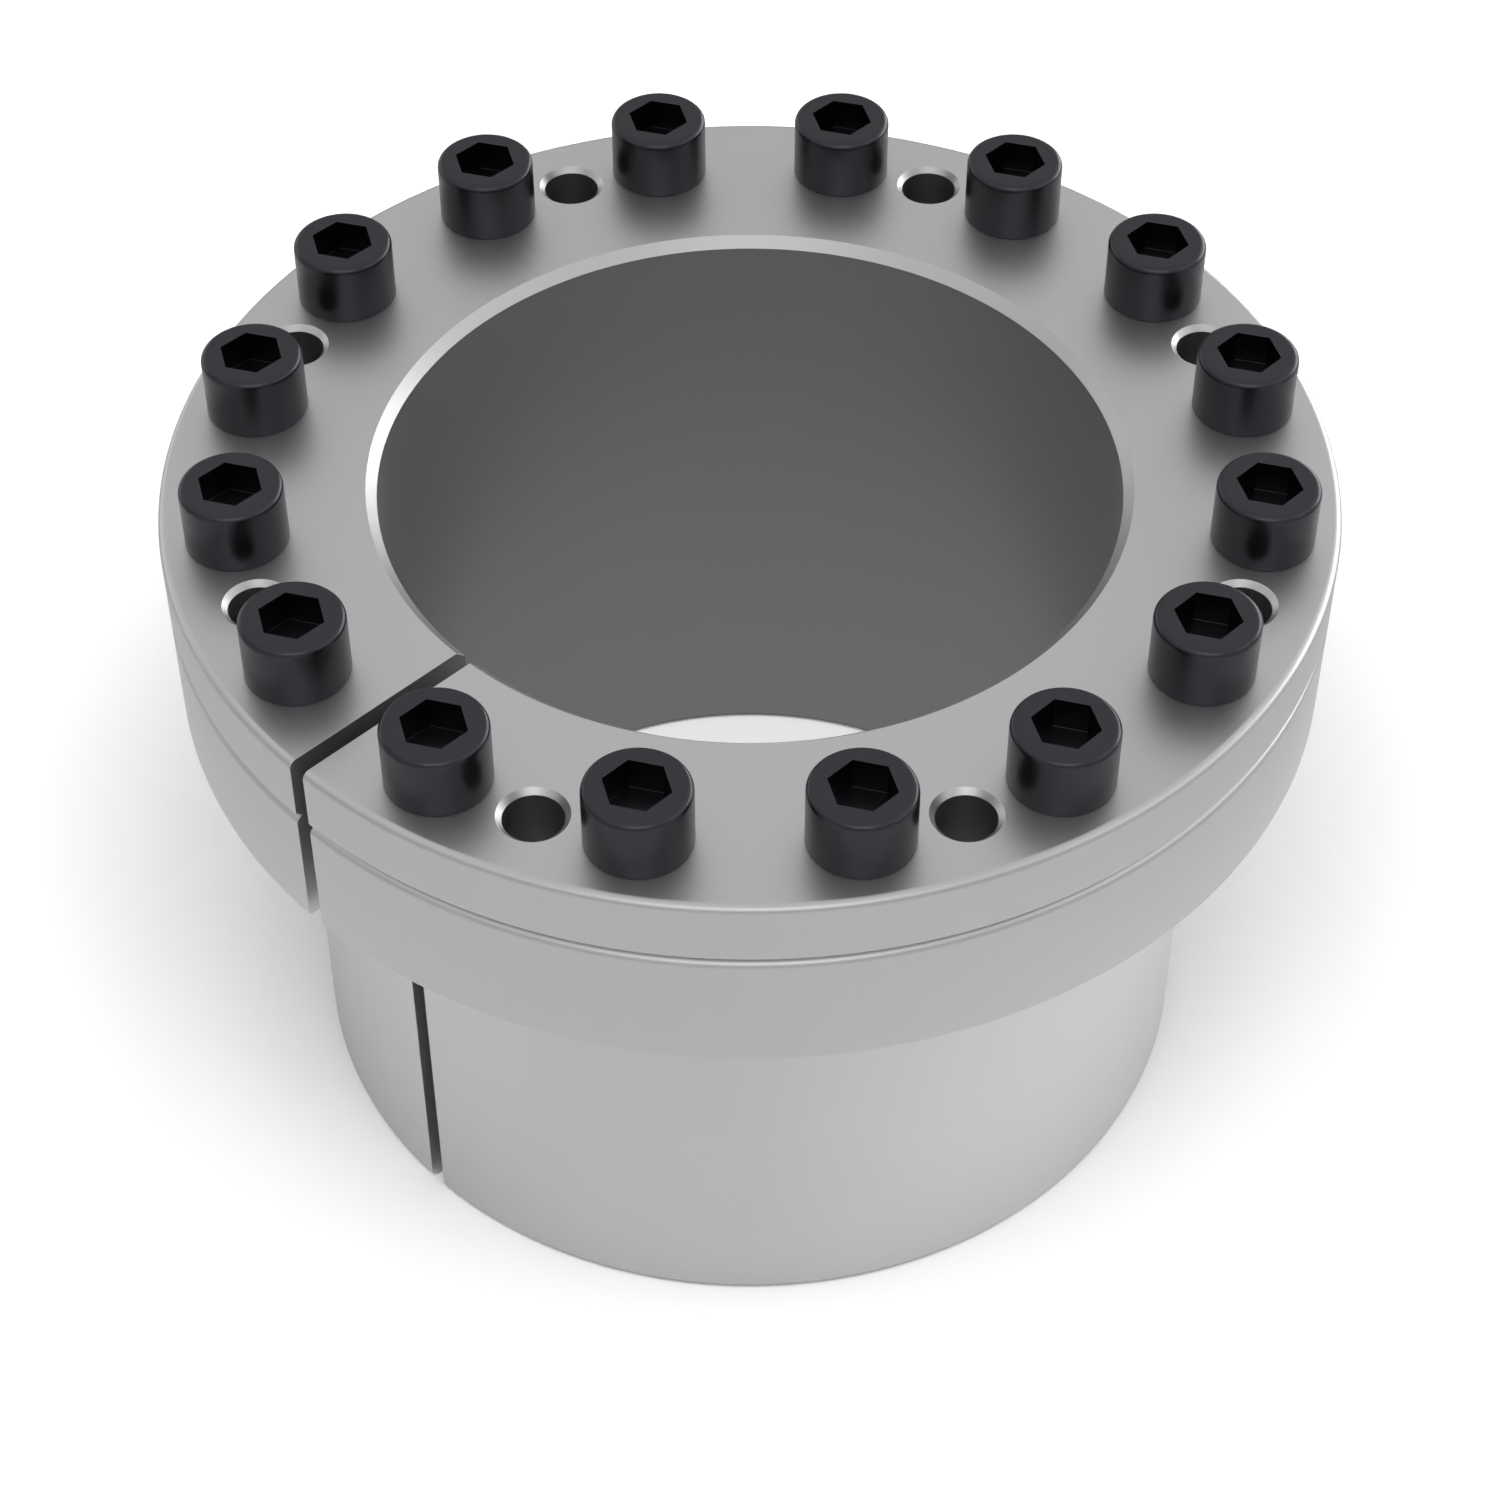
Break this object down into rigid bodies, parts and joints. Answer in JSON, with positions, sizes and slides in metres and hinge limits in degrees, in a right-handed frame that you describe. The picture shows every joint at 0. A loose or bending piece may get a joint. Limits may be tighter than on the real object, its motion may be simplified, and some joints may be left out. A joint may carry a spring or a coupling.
{
  "type": "keyless locking assembly",
  "caption": "Slit flanged ring with a straight shaft bore and outer taper, drawn by a circle of cap screws into a slit tapered collar sleeve to clamp a hub on a shaft.",
  "frame": {"origin": "on the shaft bore's axis, in the plane of the sleeve's free end, which the object stands on", "axes": "+Z along the bore's axis from the sleeve's free end to the screw heads; the slit in both rings lies at 225 degrees from +X, between -X and -Y"},
  "size_m": [0.2074, 0.2074, 0.1404],
  "materials": {
    "turned_steel": "fine-turned bare steel, satin",
    "black_screw_steel": "black oxide, lightly oiled"
  },
  "bodies": {
    "outer_ring": {"outer_ring": "turned_steel"},
    "inner_ring": {"inner_ring": "turned_steel"},
    "screw_01": {"screw_01": "black_screw_steel"},
    "screw_02": {"screw_02": "black_screw_steel"},
    "screw_03": {"screw_03": "black_screw_steel"},
    "screw_04": {"screw_04": "black_screw_steel"},
    "screw_05": {"screw_05": "black_screw_steel"},
    "screw_06": {"screw_06": "black_screw_steel"},
    "screw_07": {"screw_07": "black_screw_steel"},
    "screw_08": {"screw_08": "black_screw_steel"},
    "screw_09": {"screw_09": "black_screw_steel"},
    "screw_10": {"screw_10": "black_screw_steel"},
    "screw_11": {"screw_11": "black_screw_steel"},
    "screw_12": {"screw_12": "black_screw_steel"},
    "screw_13": {"screw_13": "black_screw_steel"},
    "screw_14": {"screw_14": "black_screw_steel"},
    "screw_15": {"screw_15": "black_screw_steel"},
    "screw_16": {"screw_16": "black_screw_steel"}
  },
  "joints": [
    {"name": "flange_slide", "type": "slide", "parent": "outer_ring", "child": "inner_ring", "axis": [0, 0, 1], "range_m": [0, 0.00525]},
    {"name": "screw_01_turn", "type": "hinge", "parent": "inner_ring", "child": "screw_01", "pos_m": [-0.05014, -0.07504, 0.1284], "axis": [0, 0, 1], "range_deg": [0, 1080]},
    {"name": "screw_02_turn", "type": "hinge", "parent": "inner_ring", "child": "screw_02", "pos_m": [-0.01761, -0.08852, 0.1284], "axis": [0, 0, 1], "range_deg": [0, 1080]},
    {"name": "screw_03_turn", "type": "hinge", "parent": "inner_ring", "child": "screw_03", "pos_m": [0.01761, -0.08852, 0.1284], "axis": [0, 0, 1], "range_deg": [0, 1080]},
    {"name": "screw_04_turn", "type": "hinge", "parent": "inner_ring", "child": "screw_04", "pos_m": [0.05014, -0.07504, 0.1284], "axis": [0, 0, 1], "range_deg": [0, 1080]},
    {"name": "screw_05_turn", "type": "hinge", "parent": "inner_ring", "child": "screw_05", "pos_m": [0.07504, -0.05014, 0.1284], "axis": [0, 0, 1], "range_deg": [0, 1080]},
    {"name": "screw_06_turn", "type": "hinge", "parent": "inner_ring", "child": "screw_06", "pos_m": [0.08852, -0.01761, 0.1284], "axis": [0, 0, 1], "range_deg": [0, 1080]},
    {"name": "screw_07_turn", "type": "hinge", "parent": "inner_ring", "child": "screw_07", "pos_m": [0.08852, 0.01761, 0.1284], "axis": [0, 0, 1], "range_deg": [0, 1080]},
    {"name": "screw_08_turn", "type": "hinge", "parent": "inner_ring", "child": "screw_08", "pos_m": [0.07504, 0.05014, 0.1284], "axis": [0, 0, 1], "range_deg": [0, 1080]},
    {"name": "screw_09_turn", "type": "hinge", "parent": "inner_ring", "child": "screw_09", "pos_m": [0.05014, 0.07504, 0.1284], "axis": [0, 0, 1], "range_deg": [0, 1080]},
    {"name": "screw_10_turn", "type": "hinge", "parent": "inner_ring", "child": "screw_10", "pos_m": [0.01761, 0.08852, 0.1284], "axis": [0, 0, 1], "range_deg": [0, 1080]},
    {"name": "screw_11_turn", "type": "hinge", "parent": "inner_ring", "child": "screw_11", "pos_m": [-0.01761, 0.08852, 0.1284], "axis": [0, 0, 1], "range_deg": [0, 1080]},
    {"name": "screw_12_turn", "type": "hinge", "parent": "inner_ring", "child": "screw_12", "pos_m": [-0.05014, 0.07504, 0.1284], "axis": [0, 0, 1], "range_deg": [0, 1080]},
    {"name": "screw_13_turn", "type": "hinge", "parent": "inner_ring", "child": "screw_13", "pos_m": [-0.07504, 0.05014, 0.1284], "axis": [0, 0, 1], "range_deg": [0, 1080]},
    {"name": "screw_14_turn", "type": "hinge", "parent": "inner_ring", "child": "screw_14", "pos_m": [-0.08852, 0.01761, 0.1284], "axis": [0, 0, 1], "range_deg": [0, 1080]},
    {"name": "screw_15_turn", "type": "hinge", "parent": "inner_ring", "child": "screw_15", "pos_m": [-0.08852, -0.01761, 0.1284], "axis": [0, 0, 1], "range_deg": [0, 1080]},
    {"name": "screw_16_turn", "type": "hinge", "parent": "inner_ring", "child": "screw_16", "pos_m": [-0.07504, -0.05014, 0.1284], "axis": [0, 0, 1], "range_deg": [0, 1080]}
  ],
  "couplings": [
    {"joint": "screw_01_turn", "follows": "flange_slide", "rad_per_m": 3590.4},
    {"joint": "screw_02_turn", "follows": "flange_slide", "rad_per_m": 3590.4},
    {"joint": "screw_03_turn", "follows": "flange_slide", "rad_per_m": 3590.4},
    {"joint": "screw_04_turn", "follows": "flange_slide", "rad_per_m": 3590.4},
    {"joint": "screw_05_turn", "follows": "flange_slide", "rad_per_m": 3590.4},
    {"joint": "screw_06_turn", "follows": "flange_slide", "rad_per_m": 3590.4},
    {"joint": "screw_07_turn", "follows": "flange_slide", "rad_per_m": 3590.4},
    {"joint": "screw_08_turn", "follows": "flange_slide", "rad_per_m": 3590.4},
    {"joint": "screw_09_turn", "follows": "flange_slide", "rad_per_m": 3590.4},
    {"joint": "screw_10_turn", "follows": "flange_slide", "rad_per_m": 3590.4},
    {"joint": "screw_11_turn", "follows": "flange_slide", "rad_per_m": 3590.4},
    {"joint": "screw_12_turn", "follows": "flange_slide", "rad_per_m": 3590.4},
    {"joint": "screw_13_turn", "follows": "flange_slide", "rad_per_m": 3590.4},
    {"joint": "screw_14_turn", "follows": "flange_slide", "rad_per_m": 3590.4},
    {"joint": "screw_15_turn", "follows": "flange_slide", "rad_per_m": 3590.4},
    {"joint": "screw_16_turn", "follows": "flange_slide", "rad_per_m": 3590.4}
  ]
}
